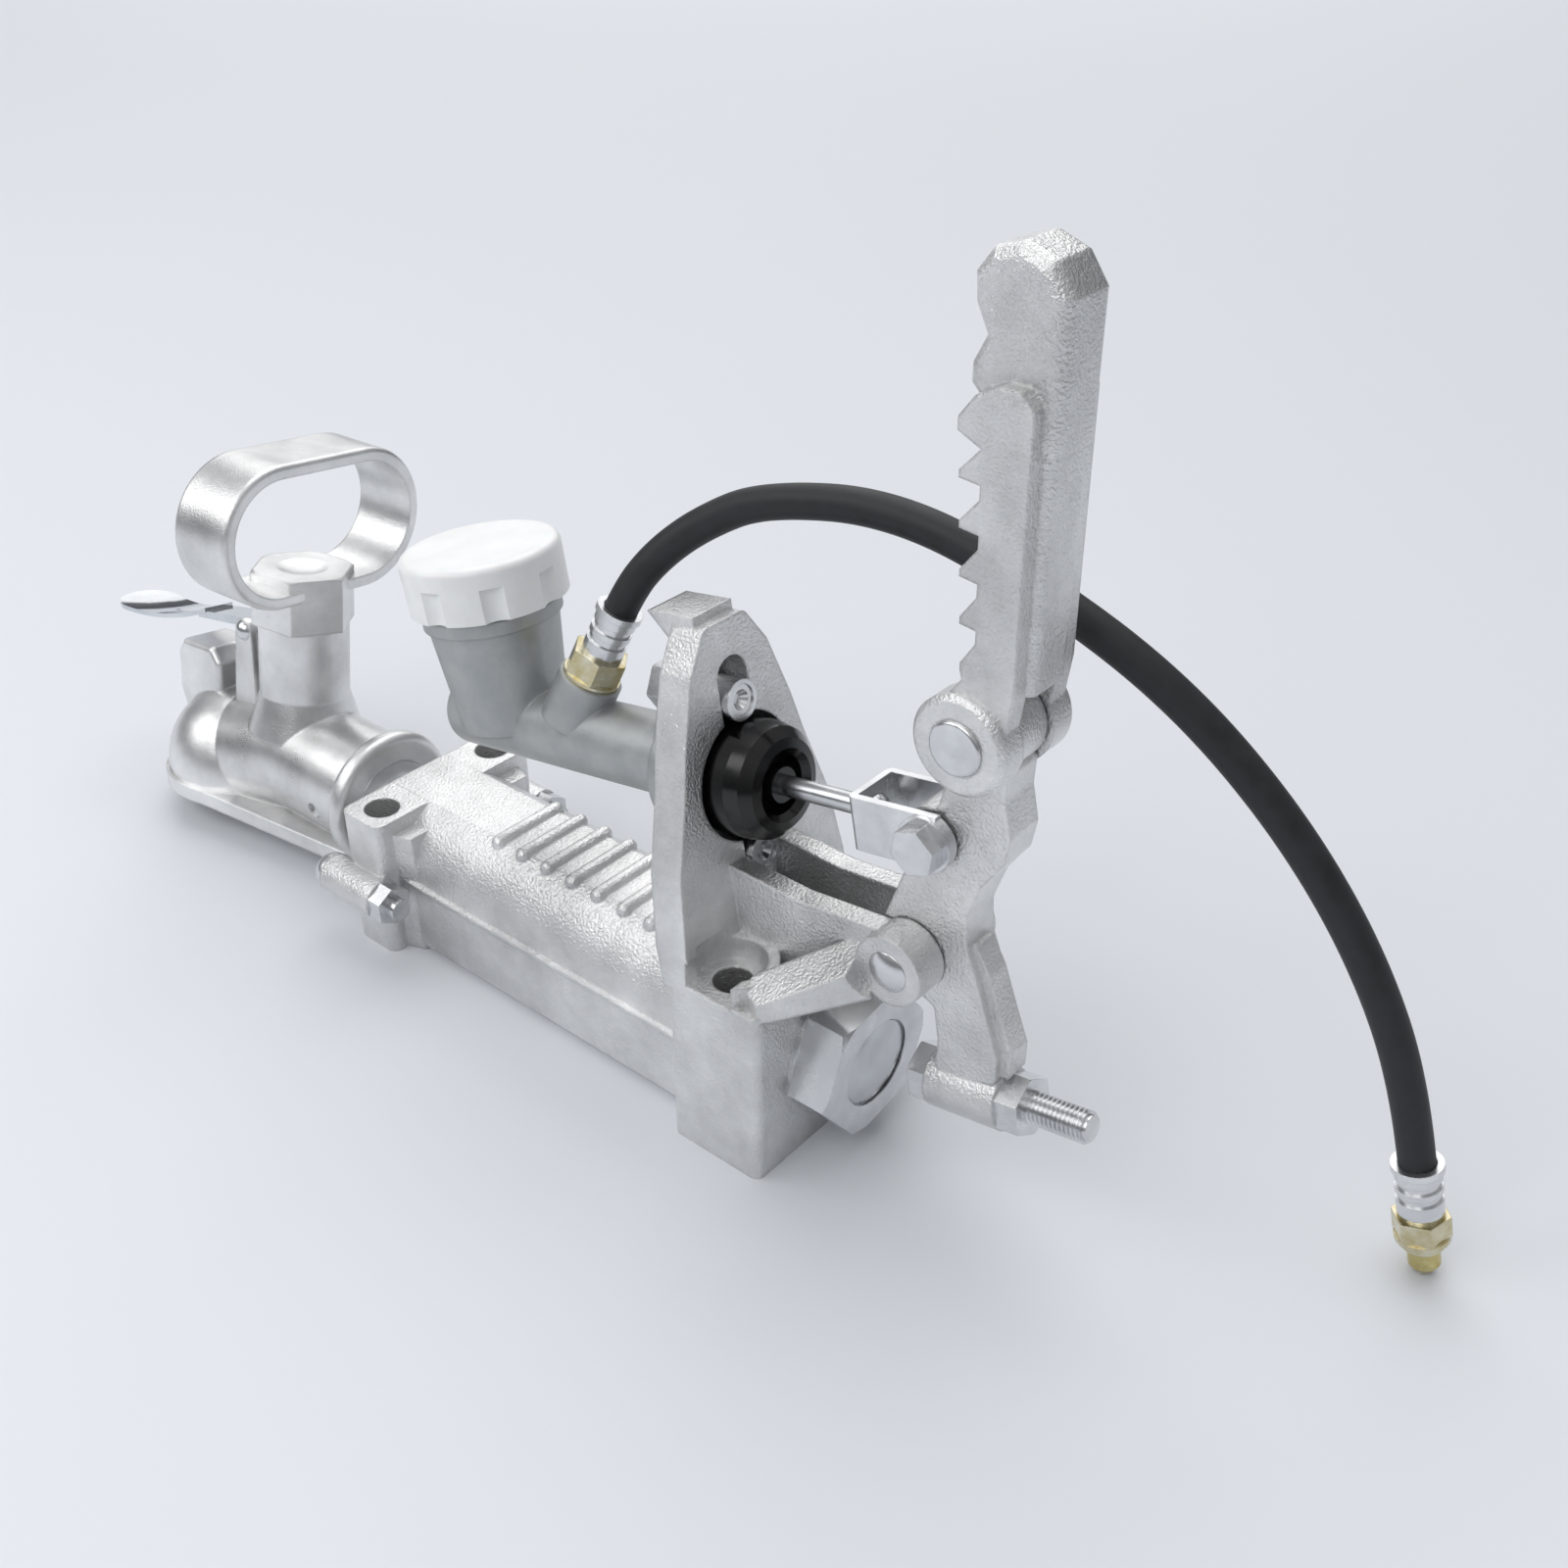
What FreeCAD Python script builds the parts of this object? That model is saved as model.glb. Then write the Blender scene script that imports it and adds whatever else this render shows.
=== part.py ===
import FreeCAD, Part
import math
import os

# Over-ride trailer coupling with hydraulic brake actuator, in millimetres.
# X points rearward, away from the ball head. Z points up. Z = 0 is the mounting plane.
# The origin is the middle of the four foot holes.

os.makedirs("parts", exist_ok=True)

# Clearances
RUN = 0.05
SLIDE_GAP = 0.3
SIDE_GAP = 0.5

# Foot holes for M12 bolts
HOLE_R = 6.5
HOLE_DX = 170.0
HOLE_DY = 53.0

# Shaft line
AXIS_Z = 33.5
SHAFT_R = 16.5
BUSH_WALL = 2.0
BUSH_LEN = 36.0
BUSH_R = SHAFT_R + BUSH_WALL
CORE_R = BUSH_R + 0.6
THREAD_R = 15.0
NUT_AF = 46.0
NUT_LEN = 15.0

# Housing tube and blocks
TUBE_HALF = 28.5
TUBE_ARC_R = 28.0
TUBE_ARC_Z = 31.0
TUBE_TOP = 56.0
RIDGE_OUT = 1.2
FRONT_X = -96.0
LUG_BACK_X = -75.0
LUG_HALF = 37.2
SIDE_BOLT_Z = 27.0
SIDE_BOLT_Y = LUG_HALF + 2.5
SIDE_BOLT_R = 4.0
SIDE_BOSS_R = 7.5
SIDE_BOSS_OUT = 5.0
SIDE_NUT_X = LUG_BACK_X + 1.0
BLOCK_FRONT_X = 68.0
BLOCK_BACK_X = 104.5
BLOCK_HALF = 38.4
BLOCK_TOP = 65.5
WASHER_T = 2.0

# Master cylinder line, tilted so that its rear end is higher
TILT = 10.0
CYL_X = 34.5
CYL_Z = 113.3
BARREL_R = 13.0
BORE_R = 9.525
BARREL_FRONT = -97.0
BORE_FRONT = -86.0
PLATE_FRONT = 22.5
PLATE_BACK = 35.0
FLANGE_T = 10.0
FLANGE_BOLT_T = 25.7
FLANGE_BOLT_R = 5.0
KEYHOLE_R = 20.5
RES_S = -72.5
RES_TOP_R = 22.6
RES_LOW_R = 20.0
RES_TOP_T = 47.0
RES_WALL = 2.6
CAP_R = 27.0
CAP_T0 = 43.5
CAP_T1 = 62.0

# Push rod and piston
ROD_R = 3.25
ROD_BALL_R = 4.0
CUP_R = 5.8
PISTON_LEN = 40.0
PISTON_BACK = 16.0
ROD_DEPTH = 8.0

# Brake lever
PIVOT_X = 137.5
PIVOT_Z = 90.0
PIVOT_R = 5.5
LEVER_HALF = 6.7
ARM_IN = LEVER_HALF + SIDE_GAP
ARM_OUT = 14.2
BOSS_OUT = 19.0
BOSS_R = 11.5
TOP_X = 154.5
TOP_Z = 170.5
TOP_R = 8.0
TOP_BOSS_R = 14.5
CLEVIS_X = 142.5
CLEVIS_BOLT_R = 4.0
ADJ_X = 158.0
ADJ_Z = 45.3
ADJ_TILT = 10.0
ADJ_R = 5.0
ADJ_AF = 17.0

# Handbrake handle
CHEEK_IN = LEVER_HALF + SIDE_GAP
CHEEK_OUT = 14.0
PAD_OUT = 17.0
ADJ_PITCH = 1.5
TEETH = 5
TOOTH_PITCH = 12.6
TOOTH_LOW_Z = 191.0
TOOTH_TIP_X = 150.0
TOOTH_ROOT_X = 156.0
GRIP_HALF = 9.5

# Ball head, rolled about the shaft line
HEAD_ROLL = 9.0
BARE_SHAFT = 18.0
COLLAR_X = FRONT_X - BARE_SHAFT
SHAFT_SEAT = 35.0
HEAD_PIN_IN = 22.0
HEAD_PIN_X = COLLAR_X - HEAD_PIN_IN
NECK_R = 23.0
BALL_R = 25.4
BALL_REACH = 97.0
BALL_X = COLLAR_X - BALL_REACH
BALL_Z = 18.0
SOCKET_R = BALL_R + SLIDE_GAP
DOME_R = 31.5
HEAD_LOW_Z = 8.0
TOWER_BACK = 41.0
TOWER_X = BALL_X + TOWER_BACK
TOWER_R = 17.5
TOWER_TOP = 91.0
BOSS_TOP = 113.0
PLUNGER_R = 8.0
PLUNGER_NECK_R = 4.6
SPRING_LOW = 48.0
SPRING_R = 12.0
TOWER_CAP = 8.0
STEP_T = 3.5
LATCH_OUT = 27.0
LATCH_X = TOWER_X - LATCH_OUT
LATCH_Z = 80.0
RIVET_R = 2.5
EAR_IN = 6.5
EAR_OUT = 9.5
SPOON_TILT = 13.0
SPOON_MID = 60.0
HANDLE_TURN = 95.0
LOOP_LEN = 96.0
LOOP_SINK = 9.0
LOOP_RISE = 55.5
LOOP_LOW = BOSS_TOP - LOOP_SINK
LOOP_HIGH = LOOP_LOW + LOOP_RISE
BAND_T = 5.0
BAND_W = 28.0

# Hose route, corner points of its centre line
HOSE_R = 5.5
HOSE_BEND = 0.45
HOSE_ROUTE = [
    (6.8, 5.6, 146.0),
    (11.7, 9.5, 160.2),
    (19.5, 15.6, 172.8),
    (31.8, 22.6, 184.4),
    (51.6, 28.6, 196.0),
    (95.5, 34.5, 203.5),
    (142.0, 38.5, 191.8),
    (183.0, 45.0, 171.5),
    (217.0, 51.5, 141.5),
    (244.5, 57.2, 105.0),
    (264.6, 61.1, 63.7),
    (273.4, 61.9, 29.4),
]
FERRULE_R = 6.9
FAR_LEN = 17.0

V = FreeCAD.Vector
AX = V(1, 0, 0)
AY = V(0, 1, 0)
AZ = V(0, 0, 1)


def box(x0, x1, y0, y1, z0, z1):
    return Part.makeBox(x1 - x0, y1 - y0, z1 - z0, V(x0, y0, z0))


def cyl(base, axis, radius, length):
    return Part.makeCylinder(radius, length, base, axis)


def tube(base, axis, outer, inner, length):
    return cyl(base, axis, outer, length).cut(cyl(base, axis, inner, length))


def cone(base, axis, r0, r1, length):
    return Part.makeCone(r0, r1, length, base, axis)


def ball(centre, radius):
    return Part.makeSphere(radius, centre)


def face_of(points):
    return Part.Face(Part.makePolygon(points + [points[0]]))


def prism_y(points, y0, y1):
    return face_of([V(x, y0, z) for x, z in points]).extrude(V(0, y1 - y0, 0))


def prism_x(points, x0, x1):
    return face_of([V(x0, y, z) for y, z in points]).extrude(V(x1 - x0, 0, 0))


def prism_z(points, z0, z1):
    return face_of([V(x, y, z0) for x, y in points]).extrude(V(0, 0, z1 - z0))


def spin(points, centre, axis):
    # points are (radius, station along Z); the solid is turned from Z to the given axis
    face = face_of([V(r, 0, s) for r, s in points])
    solid = face.revolve(V(0, 0, 0), AZ, 360)
    return aim(solid, centre, axis)


def aim(solid, centre, axis):
    turn = FreeCAD.Rotation(AZ, axis)
    moved = solid.copy()
    moved.Placement = FreeCAD.Placement(centre, turn).multiply(moved.Placement)
    return moved


def hexagon(base, axis, across, length, turn=0.0):
    r = across / math.sqrt(3.0)
    ring = []
    for k in range(6):
        a = math.radians(60 * k + turn)
        ring.append(V(r * math.cos(a), r * math.sin(a), 0))
    solid = face_of(ring).extrude(V(0, 0, length))
    rim = r + 0.6 - across * 0.06
    cut_back = Part.makeCone(rim + length * 1.7, rim, length, V(0, 0, 0), AZ)
    return aim(solid.common(cut_back), base, axis)


def fuse(shapes):
    return shapes[0].multiFuse(shapes[1:]).removeSplitter()


def group(shapes):
    return Part.makeCompound(shapes)


def coil_spring(pitch, turns, radius, wire_r):
    # a helix along Z laid out in quarter turns, each a short run of its own
    edges = []
    for k in range(int(turns * 4)):
        quarter = Part.makeHelix(pitch, pitch / 4.0, radius).Edges[0].copy()
        quarter.rotate(V(0, 0, 0), AZ, 90.0 * k)
        quarter.translate(V(0, 0, pitch / 4.0 * k))
        edges.append(quarter)
    profile = Part.Wire([Part.makeCircle(wire_r, V(radius, 0, 0), AY)])
    return Part.Wire(edges).makePipeShell([profile], True, True)


def soften(shape, radius, pick):
    edges = [e for e in shape.Edges if pick(e)]
    return shape.makeFillet(radius, edges)


def tilted(shape):
    # from the cylinder's own line (X along the bore) to its place
    moved = shape.copy()
    moved.rotate(V(0, 0, 0), AY, -TILT)
    moved.translate(V(CYL_X, 0, CYL_Z))
    return moved


def rolled(shape):
    moved = shape.copy()
    moved.rotate(V(0, 0, AXIS_Z), AX, -HEAD_ROLL)
    return moved


def save(name, shape):
    solids = shape.Solids
    volume = sum(s.Volume for s in solids)
    low = shape.BoundBox
    print(name, len(solids), "valid", shape.isValid(), round(volume), "mm3",
          round(low.XMin, 1), round(low.XMax, 1), round(low.YMin, 1), round(low.YMax, 1),
          round(low.ZMin, 1), round(low.ZMax, 1))
    out = solids[0] if len(solids) == 1 else group(solids)
    out.exportStep("parts/" + name + ".step")


# Housing tube section: flat lower sides, a ridge line, and a convex upper half
arc_end_y = math.sqrt(TUBE_ARC_R ** 2 - (TUBE_TOP - TUBE_ARC_Z) ** 2)
section = [(-TUBE_HALF + 3, 0), (-TUBE_HALF, 3), (-TUBE_HALF, 27.5)]
section += [(-TUBE_HALF - RIDGE_OUT, 29.0), (-TUBE_HALF - RIDGE_OUT, 30.6)]
arc_steps = 10
first = math.pi
last = math.atan2(TUBE_TOP - TUBE_ARC_Z, -arc_end_y)
upper = []
for k in range(arc_steps + 1):
    a = first + (last - first) * k / arc_steps
    upper.append((TUBE_ARC_R * math.cos(a), TUBE_ARC_Z + TUBE_ARC_R * math.sin(a)))
lower_edge = [V(FRONT_X, y, z) for y, z in section] + [V(FRONT_X, upper[0][0], upper[0][1])]
mirror_edge = [V(p.x, -p.y, p.z) for p in lower_edge]
mid_a = upper[arc_steps // 2]
wire = [Part.makePolygon(lower_edge)]
wire.append(Part.Arc(lower_edge[-1], V(FRONT_X, mid_a[0], mid_a[1]),
                     V(FRONT_X, -arc_end_y, TUBE_TOP)).toShape())
wire.append(Part.makeLine(V(FRONT_X, -arc_end_y, TUBE_TOP), V(FRONT_X, arc_end_y, TUBE_TOP)))
wire.append(Part.Arc(V(FRONT_X, arc_end_y, TUBE_TOP), V(FRONT_X, -mid_a[0], mid_a[1]),
                     mirror_edge[-1]).toShape())
wire.append(Part.makePolygon(list(reversed(mirror_edge))))
wire.append(Part.makeLine(mirror_edge[0], lower_edge[0]))
tube_edges = []
for piece in wire:
    tube_edges += piece.Edges
tube_face = Part.Face(Part.Wire(Part.__sortEdges__(tube_edges)))
housing = [tube_face.extrude(V(BLOCK_FRONT_X + 4 - FRONT_X, 0, 0))]

# Front lugs and the smooth bridge between them
lug = box(FRONT_X, LUG_BACK_X, -LUG_HALF, LUG_HALF, 0, TUBE_TOP - 0.2)
lug = soften(lug, 4.0, lambda e: abs(e.Vertexes[0].Z - e.Vertexes[-1].Z) > 20)
housing.append(lug)
for side in (-1, 1):
    web_out = TUBE_HALF + 3.0
    web = [(LUG_BACK_X - 2, side * 20), (LUG_BACK_X - 2, side * web_out)]
    web += [(LUG_BACK_X + 7, side * (TUBE_HALF - 0.5)), (LUG_BACK_X + 7, side * 20)]
    housing.append(prism_z(web, 0, TUBE_TOP - 6))
    boss_y = side * SIDE_BOLT_Y
    boss_in = side * (LUG_HALF - 6.0)
    boss_start = V(FRONT_X - SIDE_BOSS_OUT, boss_y, SIDE_BOLT_Z)
    housing.append(cyl(boss_start, AX, SIDE_BOSS_R, SIDE_NUT_X - boss_start.x))
    housing.append(box(FRONT_X + 1, LUG_BACK_X - 1, min(boss_y, boss_in), max(boss_y, boss_in),
                       SIDE_BOLT_Z - SIDE_BOSS_R + 0.5, SIDE_BOLT_Z + SIDE_BOSS_R - 0.5))

# Cross ribs on top of the tube
rib_pitch = 12.3
for k in range(8):
    x = -36.0 + rib_pitch * k
    rib = cyl(V(x, -13.5, TUBE_TOP - 0.6), AY, 3.0, 27.0)
    rib = fuse([rib, ball(V(x, -13.5, TUBE_TOP - 0.6), 3.0), ball(V(x, 13.5, TUBE_TOP - 0.6), 3.0)])
    housing.append(rib)

# Rear block
block = box(BLOCK_FRONT_X, BLOCK_BACK_X, -BLOCK_HALF, BLOCK_HALF, 0, BLOCK_TOP)
block = soften(block, 3.0, lambda e: abs(e.Vertexes[0].Z - e.Vertexes[-1].Z) > 20)
housing.append(block)

# Upright bracket, in the cylinder's own line: Y across, Z up from the bore
outline = [(-BLOCK_HALF, -58.0), (-BLOCK_HALF, -44.0), (-35.0, -20.0), (-27.5, 4.0), (-24.0, 18.0)]
outline += [(-17.0, 39.0), (-9.0, 51.0)]
outline += [(-y, z) for y, z in reversed(outline)]
plate = prism_x(outline, PLATE_FRONT, PLATE_BACK)
plate = soften(plate, 3.0, lambda e: abs(e.Vertexes[0].X - e.Vertexes[-1].X) > 5 and e.Vertexes[0].Z > -50)
lip_points = [(PLATE_FRONT - 10, 54.0), (PLATE_BACK - 4, 54.0)]
lip_points += [(PLATE_BACK - 4, 42.0), (PLATE_FRONT + 1, 42.0)]
lip = prism_y(lip_points, -8.5, 8.5)
plate = fuse([plate, lip])
keyhole = cyl(V(PLATE_FRONT - 1, 0, 0), AX, KEYHOLE_R, 30)
slot_half = FLANGE_BOLT_R + 1.6
slot = box(PLATE_FRONT - 1, PLATE_BACK + 1, -slot_half, slot_half, -33.0, 33.0)
slot_top = cyl(V(PLATE_FRONT - 1, 0, 33.0), AX, slot_half, 30)
slot_low = cyl(V(PLATE_FRONT - 1, 0, -33.0), AX, slot_half, 30)
upright = plate.cut(fuse([keyhole, slot, slot_top, slot_low]))
upright = tilted(upright)
below = box(-200, 300, -100, 100, -100, BLOCK_TOP - 6)
housing.append(upright.cut(below))

# Lever arms with pivot bosses, feet and U-shaped walls around the rear holes
for side in (-1, 1):
    arm = prism_y([(70.0, BLOCK_TOP - 3), (72.0, 95.5), (100.0, 95.0), (PIVOT_X, PIVOT_Z + 9.5),
                   (PIVOT_X + 4, PIVOT_Z - 8.0), (126.0, 78.0), (BLOCK_BACK_X, BLOCK_TOP - 3)],
                  min(side * ARM_IN, side * ARM_OUT), max(side * ARM_IN, side * ARM_OUT))
    housing.append(arm)
    start = side * ARM_IN
    housing.append(cyl(V(PIVOT_X, start, PIVOT_Z), AY * side, BOSS_R, BOSS_OUT - ARM_IN))
    low_ring = [V(91, side * 32.0, 63.0), V(103.5, side * 37.0, 63.0)]
    low_ring += [V(103.5, side * 37.0, 70.5), V(91, side * 32.0, 70.5)]
    high_ring = [V(125.0, side * 10.0, 81.0), V(138.0, side * 18.5, 81.5)]
    high_ring += [V(138.0, side * 18.5, 94.0), V(125.0, side * 10.0, 94.0)]
    rings = [Part.makePolygon(ring + [ring[0]]) for ring in (low_ring, high_ring)]
    foot = Part.makeLoft(rings, True)
    housing.append(foot)
    wall = cyl(V(HOLE_DX / 2, side * HOLE_DY / 2, BLOCK_TOP - 2), AZ, HOLE_R + 8.0, 9.0)
    wall = wall.common(box(BLOCK_FRONT_X, BLOCK_BACK_X, -BLOCK_HALF, BLOCK_HALF, 0, 200))
    housing.append(wall)

housing = fuse(housing)
cuts = []
cuts.append(cyl(V(FRONT_X - 20, 0, AXIS_Z), AX, CORE_R, BLOCK_BACK_X - FRONT_X + 40))
for side in (-1, 1):
    for end in (-1, 1):
        cuts.append(cyl(V(end * HOLE_DX / 2, side * HOLE_DY / 2, -5), AZ, HOLE_R, 140))
    pocket_y = side * HOLE_DY / 2
    cuts.append(cyl(V(HOLE_DX / 2, pocket_y, BLOCK_TOP - 1.0), AZ, HOLE_R + 4.5, 12.0))
    y_out = side * 50.0
    cuts.append(box(HOLE_DX / 2 - HOLE_R - 2.5, HOLE_DX / 2 + HOLE_R + 2.5,
                    min(pocket_y, y_out), max(pocket_y, y_out), BLOCK_TOP - 1.0, BLOCK_TOP + 8.0))
    cuts.append(cyl(V(FRONT_X - SIDE_BOSS_OUT - 3, side * SIDE_BOLT_Y, SIDE_BOLT_Z), AX, SIDE_BOLT_R, 60.0))
lever_slot = box(74.0, 170.0, -ARM_IN, ARM_IN, BLOCK_TOP, 120.0)
cuts.append(lever_slot)
cuts.append(cyl(V(PIVOT_X, -40, PIVOT_Z), AY, PIVOT_R, 80))
for side in (-1, 1):
    cuts.append(cyl(V(PIVOT_X, side * BOSS_OUT, PIVOT_Z), AY * side, BOSS_R, 20))
housing = housing.cut(fuse(cuts))

# Bearing seats at both ends keep the bushes; between them the bore is cored wider
seat_front = tube(V(FRONT_X, 0, AXIS_Z), AX, CORE_R, BUSH_R, BUSH_LEN)
seat_back = tube(V(BLOCK_BACK_X - BUSH_LEN, 0, AXIS_Z), AX, CORE_R, BUSH_R, BUSH_LEN)
housing = fuse([housing, seat_front, seat_back])
save("housing", housing)

save("front_bush", tube(V(FRONT_X, 0, AXIS_Z), AX, BUSH_R, SHAFT_R + RUN, BUSH_LEN))
save("rear_bush", tube(V(BLOCK_BACK_X - BUSH_LEN, 0, AXIS_Z), AX, BUSH_R, SHAFT_R + RUN, BUSH_LEN))

# Round-head bolts in the front side bosses
bolts = []
nuts = []
side_head_x = FRONT_X - SIDE_BOSS_OUT
side_nut_t = 6.5
for side in (-1, 1):
    y = side * SIDE_BOLT_Y
    shank_len = SIDE_NUT_X + side_nut_t + 4.0 - side_head_x
    shank = cyl(V(side_head_x, y, SIDE_BOLT_Z), AX, SIDE_BOLT_R, shank_len)
    head = ball(V(side_head_x, y, SIDE_BOLT_Z), SIDE_BOSS_R)
    head = head.common(cyl(V(side_head_x, y, SIDE_BOLT_Z), AX * -1, SIDE_BOSS_R + 1, SIDE_BOSS_R + 1))
    bolts.append(fuse([shank, head]))
    nut_base = V(SIDE_NUT_X, y, SIDE_BOLT_Z)
    nuts.append(hexagon(nut_base, AX, 13.0, side_nut_t).cut(cyl(nut_base - AX * 3, AX, SIDE_BOLT_R, 20)))
save("side_bolts", group(bolts))
save("side_nuts", group(nuts))

# Lever pivot pin with domed ends
pin = cyl(V(PIVOT_X, -BOSS_OUT, PIVOT_Z), AY, PIVOT_R, 2 * BOSS_OUT)
for side in (-1, 1):
    dome = ball(V(PIVOT_X, side * (BOSS_OUT - 9.2), PIVOT_Z), math.hypot(9.2, 6.6))
    dome = dome.common(cyl(V(PIVOT_X, side * BOSS_OUT, PIVOT_Z), AY * side, 6.6, 5.0))
    pin = fuse([pin, dome])
save("pivot_pin", pin)

# Master cylinder casting
barrel = cyl(V(BARREL_FRONT, 0, 0), AX, BARREL_R, PLATE_FRONT - 1 - BARREL_FRONT)
barrel = soften(barrel, 5.0, lambda e: len(e.Vertexes) == 1 and e.Vertexes[0].X < BARREL_FRONT + 1)
spigot = cyl(V(PLATE_FRONT - 2, 0, 0), AX, 14.0, 10.0)
flange_x = PLATE_FRONT - FLANGE_T
flange = cyl(V(flange_x, 0, 0), AX, 21.0, FLANGE_T)
for side in (-1, 1):
    ear_top = side * (FLANGE_BOLT_T + 4.5)
    ear_points = [(-20.0, side * 4.0), (-8.6, ear_top), (8.6, ear_top), (20.0, side * 4.0)]
    flange = fuse([flange, cyl(V(flange_x, 0, side * FLANGE_BOLT_T), AX, 9.6, FLANGE_T),
                   prism_x(ear_points, flange_x, flange_x + FLANGE_T)])
reservoir = cone(V(RES_S, 0, 0), AZ, RES_LOW_R - 1.5, RES_TOP_R, RES_TOP_T - 6)
neck_r = RES_TOP_R - 0.2
neck = cyl(V(RES_S, 0, RES_TOP_T - 7), AZ, neck_r, 16.0)
shoulder = cyl(V(RES_S, 0, RES_TOP_T - 9.5), AZ, RES_TOP_R + 1.0, 5.0)
mc = fuse([barrel, spigot, flange])
mc = fuse([mc, fuse([reservoir, shoulder, neck])])
mc = tilted(mc)
port_dir = V(*HOSE_ROUTE[1]) - V(*HOSE_ROUTE[0])
port_dir.normalize()
port_in = 26.4
PORT = V(*HOSE_ROUTE[0]) - port_dir * port_in
PORT_TOP = 8.0
boss = cyl(PORT - port_dir * 10, port_dir, 10.6, 10 + PORT_TOP)
mc = fuse([mc, boss])
mc_cuts = [cyl(V(BORE_FRONT, 0, 0), AX, BORE_R, 140)]
well_low = BARREL_R - 2.0
well_len = RES_TOP_T - well_low + 10
mc_cuts.append(cone(V(RES_S, 0, well_low + 4), AZ, RES_LOW_R - RES_WALL, RES_TOP_R - RES_WALL, well_len))
mc_cuts.append(cyl(V(RES_S, 0, 4), AZ, 1.0, 20))
mc_cuts.append(cyl(V(RES_S - 12, 0, 4), AZ, 1.5, 20))
for side in (-1, 1):
    mc_cuts.append(cyl(V(flange_x - 5, 0, side * FLANGE_BOLT_T), AX, FLANGE_BOLT_R, 30))
mc_cuts = [tilted(c) for c in mc_cuts]
mc_cuts.append(cyl(PORT - port_dir * 12, port_dir, 2.0, 40))
mc_cuts.append(cyl(PORT - port_dir * 0.5, port_dir, 5.0, 40))
mc = mc.cut(fuse(mc_cuts))
save("master_cylinder", mc)

# Flange bolts and their round nuts in the bracket slots
bolts = []
sleeves = []
for side in (-1, 1):
    t = side * FLANGE_BOLT_T
    shank = cyl(V(flange_x, 0, t), AX, FLANGE_BOLT_R, PLATE_BACK + 2.0 - flange_x)
    head = hexagon(V(flange_x, 0, t), AX * -1, 16.0, 6.4, 30)
    bolt = fuse([shank, head])
    tip = cone(V(PLATE_BACK + 2.01, 0, t), AX * -1, 3.2, 1.6, 2.2)
    bolts.append(tilted(bolt.cut(tip)))
    sleeve_len = PLATE_BACK + 2.6 - PLATE_FRONT
    sleeve = tube(V(PLATE_FRONT, 0, t), AX, FLANGE_BOLT_R + 1.5, FLANGE_BOLT_R, sleeve_len)
    sleeves.append(tilted(sleeve))
save("flange_bolts", group(bolts))
save("flange_sleeves", group(sleeves))

# Piston with two cup grooves and a blind hole for the rod's ball end
piston_front = PISTON_BACK - PISTON_LEN
piston = cyl(V(piston_front, 0, 0), AX, BORE_R - RUN, PISTON_LEN)
cup_w = 4.0
cup_core = 5.5
cup_at = [piston_front + 3.0, piston_front + 14.0]
for s in cup_at:
    piston = piston.cut(tube(V(s, 0, 0), AX, BORE_R + 2, cup_core, cup_w))
piston = piston.cut(cyl(V(PISTON_BACK - ROD_DEPTH, 0, 0), AX, CUP_R, ROD_DEPTH + 4))
save("piston", tilted(piston))
cups = []
for s in cup_at:
    cups.append(tilted(tube(V(s, 0, 0), AX, BORE_R - RUN, cup_core, cup_w)))
save("piston_cups", group(cups))

# Return spring as a coil in front of the piston
coil_r = 7.2
wire_r = 0.8
spring_len = piston_front - BORE_FRONT
spring_turns = 7
spring = coil_spring((spring_len - 2 * wire_r - 0.4) / spring_turns, spring_turns, coil_r, wire_r)
save("return_spring", tilted(aim(spring, V(BORE_FRONT + wire_r + 0.2, 0, 0), AX)))

# Retaining ring behind the piston
save("retaining_ring", tilted(tube(V(PISTON_BACK + 0.2, 0, 0), AX, BORE_R, 7.0, 1.5)))

# Rubber boot on the barrel spigot, rounded cup with a lip on the rod
boot_front = PLATE_FRONT + 3.0
boot_back = boot_front + 25.0
lip_r = ROD_R + RUN
boot_points = [(14.0, boot_front), (16.8, boot_front), (18.6, boot_front + 3), (18.6, boot_back - 9)]
boot_points += [(17.6, boot_back - 4), (14.6, boot_back - 0.8), (11.5, boot_back), (9.6, boot_back - 2.2)]
boot_points += [(8.4, boot_back - 6.0), (6.6, boot_back - 4.0), (5.6, boot_back - 1.0)]
boot_points += [(lip_r, boot_back - 1.0), (lip_r, boot_back - 7.5), (9.0, boot_back - 8.5)]
boot_points += [(12.0, boot_back - 3.5), (15.6, boot_back - 7.0)]
boot_points += [(16.0, boot_front + 6.0), (14.0, boot_front + 4.5)]
save("boot", tilted(spin(boot_points, V(0, 0, 0), AX)))

# Push rod with ball end, riveted in the clevis
rod_tip = PISTON_BACK - ROD_DEPTH + SLIDE_GAP
clevis_s = (CLEVIS_X - CYL_X) / math.cos(math.radians(TILT))
CLEVIS_T = 2.5
clevis_in = LEVER_HALF + 1.0
clevis_out = clevis_in + CLEVIS_T
clevis_front = clevis_s - 27.0
clevis_back = clevis_s + 9.0
rod = cyl(V(rod_tip + 3, 0, 0), AX, ROD_R, clevis_front + CLEVIS_T - rod_tip - 3)
rod = fuse([rod, ball(V(rod_tip + ROD_BALL_R, 0, 0), ROD_BALL_R)])
rivet_x = clevis_front + CLEVIS_T
rivet = ball(V(rivet_x - 1.5, 0, 0), 5.0).common(cyl(V(rivet_x, 0, 0), AX, 6.0, 6.0))
rod = fuse([rod, rivet])
save("push_rod", tilted(rod))

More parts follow.
